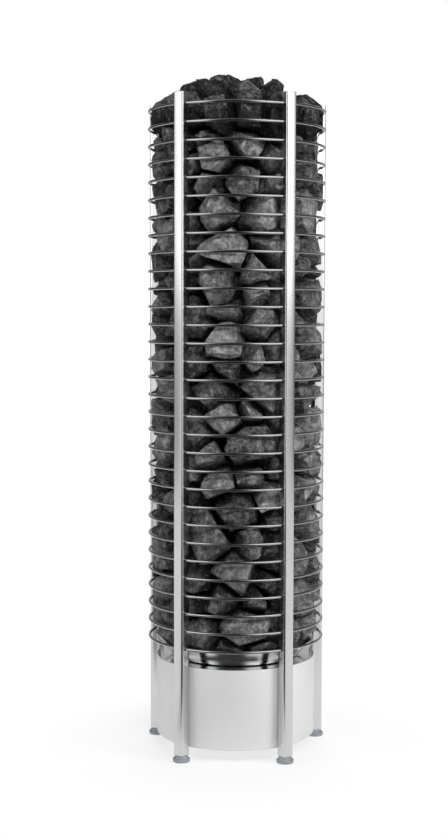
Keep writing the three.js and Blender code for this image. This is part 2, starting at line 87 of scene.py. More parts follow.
def grey(level: float, tint: float = 0.0) -> Colour:
    """Returns a grey, a little bluer where tint is above 0 and a little browner below."""
    return (level * (1 - tint), level, level * (1 + tint), 1.0)


# Shader maths


class Socket:
    """An output socket that adds Math nodes when it is used in an expression."""

    def __init__(self, shader: "Shader", socket: bpy.types.NodeSocket) -> None:
        """Wraps a socket of a shader's tree."""
        self.shader, self.socket = shader, socket

    def __add__(self, other: "Value") -> "Socket":
        """Returns the sum."""
        return self.shader.math("ADD", self, other)

    def __sub__(self, other: "Value") -> "Socket":
        """Returns the difference."""
        return self.shader.math("SUBTRACT", self, other)

    def __rsub__(self, other: "Value") -> "Socket":
        """Returns the difference, with this value taken away."""
        return self.shader.math("SUBTRACT", other, self)

    def __mul__(self, other: "Value") -> "Socket":
        """Returns the product."""
        return self.shader.math("MULTIPLY", self, other)

    __radd__ = __add__
    __rmul__ = __mul__


Value = Union[Socket, float, Sequence[float]]


class Shader:
    """Builds the nodes of a material or of the world."""

    def __init__(self, owner: Union[bpy.types.Material, bpy.types.World]) -> None:
        """Empties the owner's node tree."""
        owner.use_nodes = True
        self.owner, self.tree = owner, owner.node_tree
        self.tree.nodes.clear()

    @classmethod
    def named(cls, name: str) -> "Shader":
        """Returns the empty shader of a new material."""
        return cls(bpy.data.materials.new(name))

    def node(self, kind: str, settings: dict[str, Any], inputs: dict[Any, Value],
             output: Union[int, str] = 0) -> Socket:
        """Adds a node.

        Args:
            kind: The node's type.
            settings: Its properties; "stops" are the positions and colours of a ramp.
            inputs: Values or links of its sockets, by name or number.
            output: The socket to hand back.

        Returns:
            The output socket.
        """
        made = self.tree.nodes.new(kind)
        for key, value in settings.items():
            if key == "stops":
                while len(made.color_ramp.elements) < len(value):
                    made.color_ramp.elements.new(1)
                for element, (position, colour) in zip(made.color_ramp.elements, value):
                    element.position, element.color = position, colour
            else:
                setattr(made, key, value)
        for key, value in inputs.items():
            if isinstance(value, Socket):
                self.tree.links.new(value.socket, made.inputs[key])
            else:
                made.inputs[key].default_value = value
        return Socket(self, made.outputs[output])

    def math(self, operation: str, first: Value, second: Value) -> Socket:
        """Returns a Math node's value, kept between 0 and 1 for no operation."""
        return self.node("ShaderNodeMath", {"operation": operation}, {0: first, 1: second})

    def place(self, scale: Sequence[float] = (1, 1, 1)) -> Socket:
        """Returns the object's own coordinates, stretched by a scale."""
        coordinates = self.node("ShaderNodeTexCoord", {}, {}, "Object")
        return self.node("ShaderNodeMapping", {}, {"Vector": coordinates, "Scale": scale})

    def noise(self, place: Socket, scale: float, detail: float = 3.0, rough: float = 0.55) -> Socket:
        """Returns fractal noise between 0 and 1."""
        return self.node("ShaderNodeTexNoise", {},
                         {"Vector": place, "Scale": scale, "Detail": detail, "Roughness": rough})

    def ramp(self, value: Value, *stops: tuple[float, Colour]) -> Socket:
        """Returns the colour that a value has on a ramp."""
        return self.node("ShaderNodeValToRGB", {"stops": stops}, {0: value})

    def step(self, value: Value, low: float, high: float) -> Socket:
        """Returns 0 below low and 1 above high, with a smooth change between them."""
        settings = {"interpolation_type": "SMOOTHSTEP"}
        return self.node("ShaderNodeMapRange", settings, {"Value": value, "From Min": low, "From Max": high})

    def mix(self, factor: Value, first: Value, second: Value, blend: str = "MIX") -> Socket:
        """Returns a mix of two colours."""
        settings = {"data_type": "RGBA", "blend_type": blend}
        return self.node("ShaderNodeMix", settings, {0: factor, 6: first, 7: second}, 2)

    def bump(self, height: Socket, depth: float) -> Socket:
        """Returns the normal of a surface with relief of that depth in metres."""
        return self.node("ShaderNodeBump", {}, {"Height": height, "Distance": depth})

    def surface(self, inputs: dict[str, Value]) -> bpy.types.Material:
        """Ends the tree in a Principled shader and returns its material."""
        shader = self.node("ShaderNodeBsdfPrincipled", {}, inputs)
        self.node_out("ShaderNodeOutputMaterial", shader)
        return self.owner

    def node_out(self, kind: str, shader: Socket) -> None:
        """Ends the tree in an output node."""
        made = self.tree.nodes.new(kind)
        self.tree.links.new(shader.socket, made.inputs["Surface"])


# Finishes


class Finish(Protocol):
    """Anything that can make its material."""

    def material(self) -> bpy.types.Material:
        """Returns a new material."""


@dataclass(frozen=True)
class Steel:
    """Bare steel with fine lines from drawing, rolling or grinding."""

    name: str
    colour: Colour
    roughness: float
    lines: tuple[float, float, float]
    depth: float
    clouds: float = 9.0
    uneven: float = 0.1
    metallic: float = 1.0

    def material(self) -> bpy.types.Material:
        """Returns steel whose lines and faint clouds change its gloss."""
        shader = Shader.named(self.name)
        lines = shader.noise(shader.place(self.lines), 1.0)
        clouds = shader.noise(shader.place(), self.clouds, 4.0)
        shade = tuple(0.84 * channel for channel in self.colour[:3]) + (1.0,)
        gloss = self.roughness - self.uneven + self.uneven * (lines + clouds)
        return shader.surface({
            "Base Color": shader.mix(clouds, self.colour, shade),
            "Metallic": self.metallic,
            "Roughness": gloss,
            "Normal": shader.bump(lines, self.depth),
        })


@dataclass(frozen=True)
class Sheath:
    """Element sheath: dull where it is hot, with straw and blue tints near its cold ends."""

    name: str
    cold: Colour
    straw: Colour
    blue: Colour
    hot: Colour
    low: float
    high: float

    def material(self) -> bpy.types.Material:
        """Returns sheath steel whose tint follows the height."""
        shader = Shader.named(self.name)
        place = shader.place()
        height = shader.node("ShaderNodeSeparateXYZ", {}, {0: place}, "Z")
        stain = shader.noise(place, 60.0, 4.0)
        level = shader.step(height + 0.08 * stain, self.low, self.high)
        tint = shader.ramp(level, (0.0, self.cold), (0.3, self.straw), (0.55, self.blue), (1.0, self.hot))
        return shader.surface({
            "Base Color": shader.mix(0.5 * stain, tint, self.hot),
            "Metallic": 0.9,
            "Roughness": 0.34 + 0.3 * stain,
            "Normal": shader.bump(stain, 0.0002),
        })


@dataclass(frozen=True)
class Matt:
    """A matt moulded, fired or woven surface with a fine tooth."""

    name: str
    colour: Colour
    roughness: float
    tooth: float
    depth: float

    def material(self) -> bpy.types.Material:
        """Returns the matt surface."""
        shader = Shader.named(self.name)
        tooth = shader.noise(shader.place(), self.tooth, 5.0)
        stain = shader.noise(shader.place(), 25.0)
        shade = tuple(0.78 * channel for channel in self.colour[:3]) + (1.0,)
        return shader.surface({
            "Base Color": shader.mix(stain, self.colour, shade),
            "Roughness": self.roughness + 0.2 * (tooth - 0.5),
            "Normal": shader.bump(tooth, self.depth),
        })


@dataclass(frozen=True)
class BrokenStone:
    """Dark split stone: every stone has its own tone, darkened by painted shade deep in the pile, with grit,
    blotches and light flecks that are painted glints.
    """

    name: str
    dark: Colour
    middle: Colour
    light: Colour
    glint: Colour
    gloss: float = 0.15

    def material(self) -> bpy.types.Material:
        """Returns stone that reads each stone's tone, painted shade included, from the mesh."""
        shader = Shader.named(self.name)
        # The tone attribute holds each stone's own tone together with the painted shade of its clefts.
        tone = shader.node("ShaderNodeAttribute", {"attribute_name": "tone"}, {}, "Fac")
        place = shader.place()
        blotch = shader.step(shader.noise(place, 75.0, 7.0, 0.7), 0.32, 0.68)
        grit = shader.step(shader.noise(place, 220.0, 4.0, 0.7), 0.25, 0.75)
        # Painted highlight: sparse light flecks in the colour stand in for the stone's glints.
        painted_glints = shader.step(shader.noise(place, 210.0, 2.0), 0.63, 0.72)
        level = 0.42 * blotch + 0.34 * grit + 0.5 * (tone - 0.3)
        body = shader.ramp(level, (0.1, self.dark), (0.45, self.middle), (0.9, self.light))
        return shader.surface({
            "Base Color": shader.mix(0.6 * painted_glints * blotch, body, self.glint),
            "Roughness": 0.6 + 0.35 * grit,
            "Specular IOR Level": self.gloss,
            "Normal": shader.bump(0.35 * grit + blotch, 0.005),
        })


FINISHES: dict[Slot, Finish] = {
    Slot.WIRE: Steel("bright_wire", grey(0.42, 0.005), 0.13, (300, 300, 300), 0.00002),
    Slot.POST: Steel("satin_post", grey(0.78, 0.003), 0.24, (900, 900, 6), 0.00002),
    Slot.BASE: Steel("rolled_base", grey(0.82, 0.006), 0.5, (5, 5, 900), 0.00002, 6.0, 0.1, 0.35),
    Slot.PLATE: Steel("mill_plate", grey(0.88, 0.01), 0.15, (12, 700, 700), 0.00001),
    Slot.FOOT: Steel("dull_zinc", grey(0.4, 0.07), 0.6, (240, 240, 240), 0.00002, 70.0, 0.1, 0.6),
    Slot.BRASS: Steel("brass", (0.72, 0.55, 0.26, 1.0), 0.32, (400, 400, 400), 0.00003),
    Slot.SHEATH: Sheath("element_sheath", grey(0.5), (0.42, 0.31, 0.17, 1.0), (0.19, 0.2, 0.27, 1.0),
                        grey(0.13, -0.08), 0.16, 0.5),
    Slot.STONE: BrokenStone("broken_stone", grey(0.03, 0.03), grey(0.19, 0.02), grey(0.52, 0.01), grey(0.75)),
    Slot.CERAMIC: Matt("fired_ceramic", (0.8, 0.77, 0.68, 1.0), 0.62, 600.0, 0.0001),
    Slot.SLEEVE: Matt("woven_sleeve", (0.5, 0.48, 0.41, 1.0), 0.85, 1400.0, 0.0003),
    Slot.PLASTIC: Matt("black_plastic", grey(0.02, 0.02), 0.5, 900.0, 0.00005),
}


TRAY_STEEL = Steel("bright_tray", grey(0.92, 0.005), 0.12, (5, 5, 900), 0.00001, 6.0)


class Wardrobe:
    """Makes each finish once and puts it on pieces."""

    def __init__(self) -> None:
        """Starts with no material made."""
        self.made: dict[Finish, bpy.types.Material] = {}

    def material(self, finish: Finish) -> bpy.types.Material:
        """Returns the material of a finish."""
        if finish not in self.made:
            self.made[finish] = finish.material()
        return self.made[finish]

    def dress(self, piece: Piece, slot: Slot, body: str, *nodes: str, finish: Optional[Finish] = None) -> Piece:
        """Gives a new piece its finish, its body and the solids that it stands for.

        Args:
            piece: The finished mesh.
            slot: The record's material slot.
            body: The frame's body that it rides on.
            nodes: The frame's nodes that it replaces.
            finish: Its finish, where it isn't the slot's own.

        Returns:
            The same piece.
        """
        piece.data.materials.clear()
        piece.data.materials.append(self.material(finish or FINISHES[slot]))
        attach(piece, body)
        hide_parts(*nodes)
        log.info("%s rides on %s for %d solids", piece.name, body, len(nodes))
        return piece

    def dress_node(self, name: str, slot: Slot) -> None:
        """Gives a solid of the frame its finish."""
        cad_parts[name].material_slots[0].material = self.material(FINISHES[slot])
        log.info("%s keeps its solid", name)


# Modelling helpers


def take(*pieces: Piece) -> None:
    """Selects these objects and nothing else; the first one is active."""
    bpy.ops.object.select_all(action="DESELECT")
    for piece in pieces:
        piece.select_set(True)
    if pieces:
        bpy.context.view_layer.objects.active = pieces[0]


@contextmanager
def editing(piece: Piece) -> Iterator[None]:
    """Opens a piece in edit mode with all of it selected."""
    take(piece)
    bpy.ops.object.mode_set(mode="EDIT")
    bpy.ops.mesh.select_mode(type="VERT")
    bpy.ops.mesh.select_all(action="SELECT")
    yield
    bpy.ops.object.mode_set(mode="OBJECT")


def pick(piece: Piece, kind: str, test: Callable[[Any], bool]) -> None:
    """Selects, in edit mode, what passes a test.

    Args:
        piece: The piece being edited.
        kind: "verts", "edges" or "faces".
        test: Tells whether one of them is wanted.
    """
    bpy.ops.mesh.select_mode(type={"verts": "VERT", "edges": "EDGE", "faces": "FACE"}[kind])
    bpy.ops.mesh.select_all(action="DESELECT")
    mesh = bmesh.from_edit_mesh(piece.data)
    for item in getattr(mesh, kind):
        item.select_set(bool(test(item)))
    mesh.select_flush_mode()
    bmesh.update_edit_mesh(piece.data)


def settle(piece: Piece, name: str) -> Piece:
    """Puts a piece's place into its mesh and names it."""
    take(piece)
    bpy.ops.object.transform_apply(location=True, rotation=True, scale=True)
    piece.name = piece.data.name = name
    return piece


def apply_modifier(piece: Piece, kind: str, **settings: Any) -> None:
    """Adds a modifier with these settings and applies it."""
    take(piece)
    modifier = piece.modifiers.new(kind.lower(), kind)
    for key, value in settings.items():
        setattr(modifier, key, value)
    bpy.ops.object.modifier_apply(modifier=modifier.name)


def smooth(piece: Piece, degrees: float = 35.0) -> None:
    """Shades a piece smooth, with edges sharper than this left sharp."""
    take(piece)
    bpy.ops.object.shade_smooth_by_angle(angle=math.radians(degrees))


def own_copy(piece: Piece, name: str, place: Matrix) -> Piece:
    """Returns a copy with its own mesh, moved by a matrix."""
    twin = piece.copy()
    twin.data = piece.data.copy()
    twin.name = twin.data.name = name
    twin.data.transform(place)
    bpy.context.scene.collection.objects.link(twin)
    return twin


def discard(piece: Piece) -> None:
    """Removes a piece and its mesh."""
    mesh = piece.data
    bpy.data.objects.remove(piece)
    bpy.data.meshes.remove(mesh)


def rounded(profile: Sequence[tuple[float, float, float]], steps: int = 4) -> list[Point]:
    """Rounds the corners of a closed profile.

    Args:
        profile: Radius, height and corner radius of each corner.
        steps: Edges along a rounded corner.

    Returns:
        The profile's points.
    """
    points: list[Point] = []
    count = len(profile)
    for i, (radius, height, corner) in enumerate(profile):
        here = Vector((radius, height))
        if corner == 0:
            points.append((radius, height))
            continue
        arms = []
        for other in (profile[i - 1], profile[(i + 1) % count]):
            arm = Vector(other[:2]) - here
            arms.append(arm.normalized() * min(corner, 0.49 * arm.length))
        for k in range(steps + 1):
            share = k / steps
            point = here + arms[0] * (1 - share) ** 2 + arms[1] * share**2
            points.append((point.x, point.y))
    return points


def spun(name: str, profile: Sequence[Point], steps: int) -> Piece:
    """Draws a closed profile point by point and spins it about the Z axis.

    Args:
        name: The piece's name.
        profile: Radius and height of each point.
        steps: Facets round the axis.

    Returns:
        The piece, closed and facing outwards.
    """
    take()
    (radius, height), *rest = profile
    bpy.ops.mesh.primitive_plane_add(size=0.001, location=(radius, 0, height))
    piece = settle(bpy.context.object, name)
    with editing(piece):
        bpy.ops.mesh.merge(type="CENTER")
        before = profile[0]
        for after in [*rest, profile[0]]:
            step = (after[0] - before[0], 0, after[1] - before[1])
            bpy.ops.mesh.extrude_vertices_move(TRANSFORM_OT_translate={"value": step})
            before = after
        bpy.ops.mesh.select_all(action="SELECT")
        bpy.ops.mesh.spin(steps=steps, angle=FULL_TURN, center=(0, 0, 0), axis=(0, 0, 1))
        bpy.ops.mesh.select_all(action="SELECT")
        bpy.ops.mesh.remove_doubles(threshold=MERGE)
        bpy.ops.mesh.normals_make_consistent(inside=False)
    return piece


def radial(angle: float, radius: float = 1.0, height: float = 0.0) -> Vector:
    """Returns a point round the axis; 0 is the front and angles grow towards the right side."""
    return Vector((radius * math.sin(angle), -radius * math.cos(angle), height))


def post_angle(order: int) -> float:
    """Returns the angle of a post from the front."""
    return (order + 0.5) * FULL_TURN / len(SIDES)


# Sub-assemblies


@dataclass
class Cage:
    """Wire rings threaded through five square posts."""

    wardrobe: Wardrobe
    ring_radius: float = 0.1545
    wire: float = 0.005
    wire_sides: int = 14
    ring_steps: int = 180
    weld_swell: float = 0.0005
    weld_length: float = 0.004
    weld_stray: float = 0.35
    hole_play: float = 0.0005
    hole_sides: int = 20
    edge: float = 0.003
    rim: float = 0.0007
    seed: int = 11
    nodes: list[str] = field(default_factory=lambda: sorted(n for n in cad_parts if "cage_ring" in n))

    def heights(self) -> list[float]:
        """Returns the level of each ring."""
        return [sum(corner.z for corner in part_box(node)) / 2 for node in self.nodes]

    def ring(self) -> Piece:
        """Returns one ring on the floor, with its butt weld at the rear."""
        section = [(self.ring_radius + self.wire / 2 * math.cos(a), self.wire / 2 * math.sin(a))
                   for a in np.linspace(0, FULL_TURN, self.wire_sides, endpoint=False)]
        ring = spun("ring", section, self.ring_steps)
        with editing(ring):
            half = self.weld_length / 2
            pick(ring, "verts", lambda v: v.co.y > 0 and abs(v.co.x) < half)
            bpy.ops.transform.shrink_fatten(value=self.weld_swell)
        smooth(ring, 60)
        return ring

    def post(self) -> Piece:
        """Returns a square post at the front of the circle, bored for every ring."""
        low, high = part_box("post_rear")
        width, middle = high.x - low.x, (low + high) / 2
        take()
        bpy.ops.mesh.primitive_cube_add(size=1, location=(0, -middle.y, middle.z))
        post = bpy.context.object
        post.scale = (width, width, high.z - low.z)
        settle(post, "post")
        with editing(post):
            pick(post, "edges", lambda e: abs(e.verts[0].co.z - e.verts[1].co.z) > width)
            bpy.ops.mesh.bevel(offset=self.edge, segments=5, affect="EDGES")
            pick(post, "faces", lambda f: abs(f.normal.z) > 0.9)
            bpy.ops.mesh.bevel(offset=self.rim, segments=2, affect="EDGES")
        heights = self.heights()
        take()
        bpy.ops.mesh.primitive_cylinder_add(
            vertices=self.hole_sides, radius=self.wire / 2 + self.hole_play, depth=2 * width,
            location=(0, -self.ring_radius + self.hole_play / 2, heights[0]), rotation=(0, math.pi / 2, 0))
        drill = settle(bpy.context.object, "drill")
        apply_modifier(drill, "ARRAY", count=len(heights), use_relative_offset=False, use_constant_offset=True,
                       constant_offset_displace=(0, 0, heights[1] - heights[0]))
        apply_modifier(post, "BOOLEAN", operation="DIFFERENCE", solver="EXACT", object=drill)
        discard(drill)
        smooth(post)
        return post

    def build(self) -> None:
        """Builds the rings and the posts."""
        rng = np.random.default_rng(self.seed)
        ring, post = self.ring(), self.post()
        for node, height in zip(self.nodes, self.heights()):
            turn = Matrix.Rotation(rng.uniform(-self.weld_stray, self.weld_stray), 4, "Z")
            twin = own_copy(ring, node.replace("cage", "wire"), Matrix.Translation((0, 0, height)) @ turn)
            self.wardrobe.dress(twin, Slot.WIRE, MAIN_BODY, node)
        for order, side in enumerate(SIDES):
            turn = Matrix.Rotation(post_angle(order), 4, "Z")
            twin = own_copy(post, f"square_post_{side}", turn)
            self.wardrobe.dress(twin, Slot.POST, MAIN_BODY, f"post_{side}")
        discard(ring)
        discard(post)


@dataclass
class Base:
    """The round base between the posts, and the flared tray on top of it."""

    wardrobe: Wardrobe
    steps: int = 160
    wall: float = 0.002
    lip: float = 0.014
    bend: float = 0.003
    top_edge: float = 0.0009
    tray_flare: float = 0.03
    tray_floor: float = 0.02
    tray_sheet: float = 0.002
    tray_bend: float = 0.004

    def drum(self) -> Piece:
        """Returns the base's rolled wall with its inward lip."""
        low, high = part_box("base_shell")
        radius, inside, lip = high.x * 1.0, high.x - self.wall, high.x - self.lip
        floor = low.z + self.wall
        edge = self.top_edge
        profile = [(lip, low.z, 0), (radius, low.z, self.bend), (radius, high.z, edge), (inside, high.z, edge),
                   (inside, floor, 0.001), (lip, floor, 0)]
        drum = spun("base_drum", rounded(profile), self.steps)
        smooth(drum)
        return drum

    def tray(self) -> Piece:
        """Returns the flared sheet that keeps the lowest stones in."""
        low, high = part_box("stone_tray")
        rim = high.x
        foot = rim - self.tray_flare
        sheet = self.tray_sheet
        across = sheet * math.hypot(1, self.tray_flare / (high.z - low.z))
        inner = foot - across + sheet * self.tray_flare / (high.z - low.z)
        profile = [(foot - self.tray_floor, low.z, 0), (foot, low.z, self.tray_bend), (rim, high.z, 0.0006),
                   (rim - across, high.z, 0.0006), (inner, low.z + sheet, self.tray_bend),
                   (foot - self.tray_floor, low.z + sheet, 0)]
        tray = spun("flared_tray", rounded(profile), self.steps)
        smooth(tray)
        return tray

    def build(self) -> None:
        """Builds the base."""
        self.wardrobe.dress(self.drum(), Slot.BASE, MAIN_BODY, "base_shell")
        self.wardrobe.dress(self.tray(), Slot.BASE, MAIN_BODY, "stone_tray", finish=TRAY_STEEL)


@dataclass
class LevellingFeet:
    """Pads with a collar and a threaded stem, one under each post."""

    wardrobe: Wardrobe
    steps: int = 48
    pad: float = 0.015
    pad_height: float = 0.007
    collar: float = 0.011
    collar_height: float = 0.0045
    stem: float = 0.004
    pitch: float = 0.00125
    thread: float = 0.0006

    def foot(self) -> Piece:
        """Returns a foot that stands on the floor at the axis."""
        low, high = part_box("foot_rear")
        shoulder = self.pad_height + self.collar_height
        profile = [(self.pad - 0.0005, low.z, 0.0012), (self.pad, self.pad_height - 0.001, 0.0012),
                   (self.collar + 0.0012, self.pad_height, 0.0008), (self.collar, shoulder, 0.001)]
        outline = [(0.0, low.z)] + rounded([(0.0, low.z, 0), *profile, (0.0, shoulder, 0)])[1:-1]
        level = shoulder
        while level + self.pitch < high.z:
            outline += [(self.stem - self.thread, level), (self.stem, level + self.pitch / 2)]
            level += self.pitch
        outline += [(self.stem - self.thread, high.z), (0.0, high.z)]
        foot = spun("foot", outline, self.steps)
        smooth(foot, 40)
        return foot

    def build(self) -> None:
        """Builds the feet."""
        foot = self.foot()
        for side in SIDES:
            low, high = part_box(f"foot_{side}")
            middle = (low + high) / 2
            place = Matrix.Translation((middle.x, middle.y, 0))
            twin = own_copy(foot, f"levelling_foot_{side}", place)
            self.wardrobe.dress(twin, Slot.FOOT, f"{side}_foot", f"foot_{side}")
        discard(foot)


@dataclass
class Stone:
    """One stone before it is broken to shape."""

    centre: Vector
    reach: float
    layer: str
    tops: list[tuple[Vector, Vector]] = field(default_factory=list)


@dataclass(frozen=True)
class CrownRing:
    """A ring of stones in the crown."""

    count: int
    out: float
    level: float
    reach: float


@dataclass
class StonePile:
    """A column of broken stones inside the cage, with a loose crown on top."""

    wardrobe: Wardrobe
    seed: int = 42
    crown_seed: int = 477
    seat: float = 0.12
    seat_stray: float = 0.007
    small: float = 0.017
    large: float = 0.039
    stretch: float = 1.35
    fill: float = 1.0
    bottom: float = 0.17
    bay_limit: float = 0.1524
    bay_turns: tuple[float, ...] = (-32, -20, -10, 0, 10, 20, 32)
    post_limit: float = 0.1425
    post_half: float = 0.016
    post_slope: float = 35.0
    press_limit: float = 0.02
    bore: float = 0.088
    heart: float = 1.06
    root: float = 0.012
    tilt: float = 0.3
    gap: tuple[float, float] = (0.0, 0.002)
    lean: tuple[float, float] = (0.0, 0.42)
    tone: tuple[float, float] = (0.15, 0.9)
    # Crown tones sit lower than the column's: painted shade standing in for the dark gaps between the crown
    # stones.
    crown_shaded_tone: tuple[float, float] = (-0.2, 0.25)
    # The next two fields set painted shade: how much darker deep corners are painted, and the depth below a
    # stone's outer face over which that shade grows.
    cleft_shade: float = 0.9
    cleft_shade_depth: tuple[float, float] = (0.012, 0.04)
    layers: tuple[str, ...] = ("stone_layer_lower", "stone_layer_middle", "stone_layer_upper")
    crown: str = "stone_crown"
    rings: tuple[CrownRing, ...] = (
        CrownRing(5, 0.055, 1.08, 0.036),
        CrownRing(13, 0.115, 1.106, 0.032),
        CrownRing(7, 0.075, 1.135, 0.036),
        CrownRing(3, 0.03, 1.15, 0.034),
    )
    dome: tuple[tuple[float, float, float], ...] = (
        (0.0, -0.006, 0), (0.08, -0.004, 20), (0.118, 0.026, 38), (0.147, 0.044, 55))

    def column(self, rng: np.random.Generator) -> list[Stone]:
        """Returns the stones of the column, pushed apart until they lie side by side."""
        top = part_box(self.layers[-1])[1].z
        girth, rise = FULL_TURN * self.seat / self.stretch, top - self.bottom
        reach: list[float] = []
        while sum(math.pi * r * r for r in reach) < self.fill * girth * rise:
            reach.append(rng.uniform(self.small, self.large))
        sizes = np.array(reach)
        flat = rng.uniform((0, self.bottom), (girth, top), (len(sizes), 2))
        touch = sizes[:, None] + sizes[None]
        for _ in range(300):
            apart = flat[:, None] - flat[None]
            apart[..., 0] = (apart[..., 0] + girth / 2) % girth - girth / 2
            far = np.hypot(apart[..., 0], apart[..., 1]) + np.eye(len(sizes))
            push = np.clip(touch - far, 0, None) * (1 - np.eye(len(sizes)))
            flat += 0.2 * ((push / far)[..., None] * apart).sum(1)
            flat[:, 0] %= girth
            flat[:, 1] = np.clip(flat[:, 1], self.bottom + 0.6 * sizes, top - 0.4 * sizes)
        tops = [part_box(layer)[1].z for layer in self.layers]
        stones = []
        for (along, height), size in zip(flat, sizes):
            layer = next((n for n, limit in zip(self.layers, tops) if height < limit), self.layers[-1])
            out = self.seat + rng.uniform(-self.seat_stray, self.seat_stray)
            stones.append(Stone(radial(along * FULL_TURN / girth, out, height), float(size), layer))
        return stones

    def heap(self, rng: np.random.Generator) -> list[Stone]:
        """Returns the stones of the crown, each with the planes of the dome that its top follows."""
        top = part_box(self.crown)[1].z
        stones = []
        for ring in self.rings:
            start = rng.uniform(0, FULL_TURN)
            for k in range(ring.count):
                angle = start + (k + rng.uniform(-0.25, 0.25)) * FULL_TURN / ring.count
                centre = radial(angle, ring.out, ring.level + rng.uniform(-0.006, 0.006))
                tops = []
                for out, drop, lean in self.dome:
                    slope = math.radians(lean * rng.uniform(0.75, 1.25))
                    normal = radial(angle) * math.sin(slope) + UP * math.cos(slope)
                    tops.append((radial(angle, out, top - drop - rng.uniform(0, 0.006)), normal))
                stones.append(Stone(centre, ring.reach, self.crown, tops))
        return stones

    def joint(self, i: int, j: int, stones: Sequence[Stone]) -> tuple[Vector, Vector]:
        """Returns a point and normal of the face that stone i turns to stone j; the cleft opens outwards."""
        first, second = min(i, j), max(i, j)
        draw = np.random.default_rng((self.seed, first, second))
        a, b = stones[first], stones[second]
        normal = (b.centre - a.centre).normalized()
        normal = (normal + Vector(draw.uniform(-self.tilt, self.tilt, 3))).normalized()
        middle = a.centre.lerp(b.centre, a.reach / (a.reach + b.reach))
        out = (middle - UP * min(middle.z, self.heart)).normalized()
        leans = draw.uniform(*self.lean, 2)
        sign, lean = (1, leans[0]) if i == first else (-1, leans[1])
        root = middle - out * self.root - normal * (sign * draw.uniform(*self.gap) / 2)
        return root, (normal * sign + out * lean).normalized()

    def cage_planes(self, stone: Stone) -> list[tuple[Vector, Vector]]:
        """Returns the planes that keep a stone behind the rings and clear of the posts."""
        angle = math.atan2(stone.centre.x, -stone.centre.y)
        ways = [angle + math.radians(turn) for turn in self.bay_turns]
        planes = [(radial(way, self.bay_limit), radial(way)) for way in ways]
        lean = math.radians(self.post_slope)
        for order in range(len(SIDES)):
            outward = radial(post_angle(order))
            along = UP.cross(outward)
            aside = stone.centre.dot(along)
            if outward.dot(stone.centre) < 0:
                continue
            if abs(aside) < self.post_half:
                planes.append((outward * self.post_limit, outward))
            else:
                along *= math.copysign(1, aside)
                corner = outward * self.post_limit + along * self.post_half
                planes.append((corner, outward * math.cos(lean) - along * math.sin(lean)))
        return planes

    def press(self, piece: Piece, stone: Stone) -> None:
        """Pushes the stone being edited outwards until it lies against the cage or the tray."""
        out = self.outward(stone)
        corners = [corner.co for corner in bmesh.from_edit_mesh(piece.data).verts]
        room = self.press_limit
        for point, normal in self.bounds(stone):
            share = normal.dot(out)
            if share > 0.3:
                room = min(room, min((point - corner).dot(normal) for corner in corners) / share)
        bpy.ops.transform.translate(value=out * max(room, 0))

    def bounds(self, stone: Stone) -> list[tuple[Vector, Vector]]:
        """Returns the planes that keep a stone in the cage, over the tray and off the elements."""
        angle = math.atan2(stone.centre.x, -stone.centre.y)
        planes = [*stone.tops, *self.cage_planes(stone)]
        if stone.layer != self.crown:
            planes.append((radial(angle, self.bore), -radial(angle)))
            planes.append((UP * self.bottom, -UP))
        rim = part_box("stone_tray")[1]
        if stone.centre.z < rim.z + 2 * stone.reach:
            slope = (radial(angle) - UP).normalized()
            planes.append((radial(angle, rim.x - 0.009, rim.z), slope))
        return planes

    @staticmethod
    def outward(stone: Stone) -> Vector:
        """Returns the way out of the pile: level in the column, upwards in the crown."""
        out = Vector((stone.centre.x, stone.centre.y, 0)).normalized()
        return (0.6 * out + UP).normalized() if stone.tops else out

    def chips(self, piece: Piece, stone: Stone, rng: np.random.Generator) -> Iterator[tuple[Vector, Vector]]:
        """Yields planes that split the outer side and knock off corners, from the stone as it is by then."""
        out = self.outward(stone)
        splits = [(0.5, stone.reach * rng.uniform(0.02, 0.18)) for _ in range(3)]
        knocks = [(1.7, stone.reach * rng.uniform(0.08, 0.35)) for _ in range(5)]
        for spread, depth in splits + knocks:
            normal = (out + Vector(rng.uniform(-spread, spread, 3))).normalized()
            normal -= min(0, 2 * normal.dot(out)) * out
            corners = bmesh.from_edit_mesh(piece.data).verts
            far = max((corner.co for corner in corners), key=normal.dot)
            yield far - normal * depth, normal

    def broken(self, i: int, stones: Sequence[Stone], rng: np.random.Generator) -> Piece:
        """Returns one stone: a block split along the planes around it, with worn edges."""
        stone = stones[i]
        take()
        bpy.ops.mesh.primitive_cube_add(size=0.16, location=stone.centre)
        piece = settle(bpy.context.object, f"broken_{i}")
        near = [j for j, other in enumerate(stones) if j != i
                and (other.centre - stone.centre).length < stone.reach + other.reach + 0.045]
        planes = [self.joint(i, j, stones) for j in near] + self.bounds(stone)
        with editing(piece):
            for point, normal in planes:
                self.split(piece, point, normal)
            for point, normal in self.chips(piece, stone, rng):
                self.split(piece, point, normal)
            if not stone.tops:
                self.press(piece, stone)
            bpy.ops.mesh.dissolve_limited(angle_limit=math.radians(2))
            bpy.ops.mesh.select_all(action="SELECT")
            bpy.ops.mesh.bevel(offset=rng.uniform(0.0006, 0.0018), segments=1, affect="EDGES", clamp_overlap=True)
            bpy.ops.mesh.select_all(action="SELECT")
            bpy.ops.mesh.remove_doubles(threshold=10 * MERGE)
            bpy.ops.mesh.normals_make_consistent(inside=False)
        self.tint(piece, stone, rng.uniform(*(self.crown_shaded_tone if stone.tops else self.tone)))
        return piece

    def tint(self, piece: Piece, stone: Stone, tone: float) -> None:
        """Writes a stone's tone to its corners, with painted shade that darkens corners lying deep in the clefts
        of the pile.
        """
        out = self.outward(stone)
        outer = max(vertex.co.dot(out) for vertex in piece.data.vertices)
        low, high = self.cleft_shade_depth
        depths = [outer - vertex.co.dot(out) for vertex in piece.data.vertices]
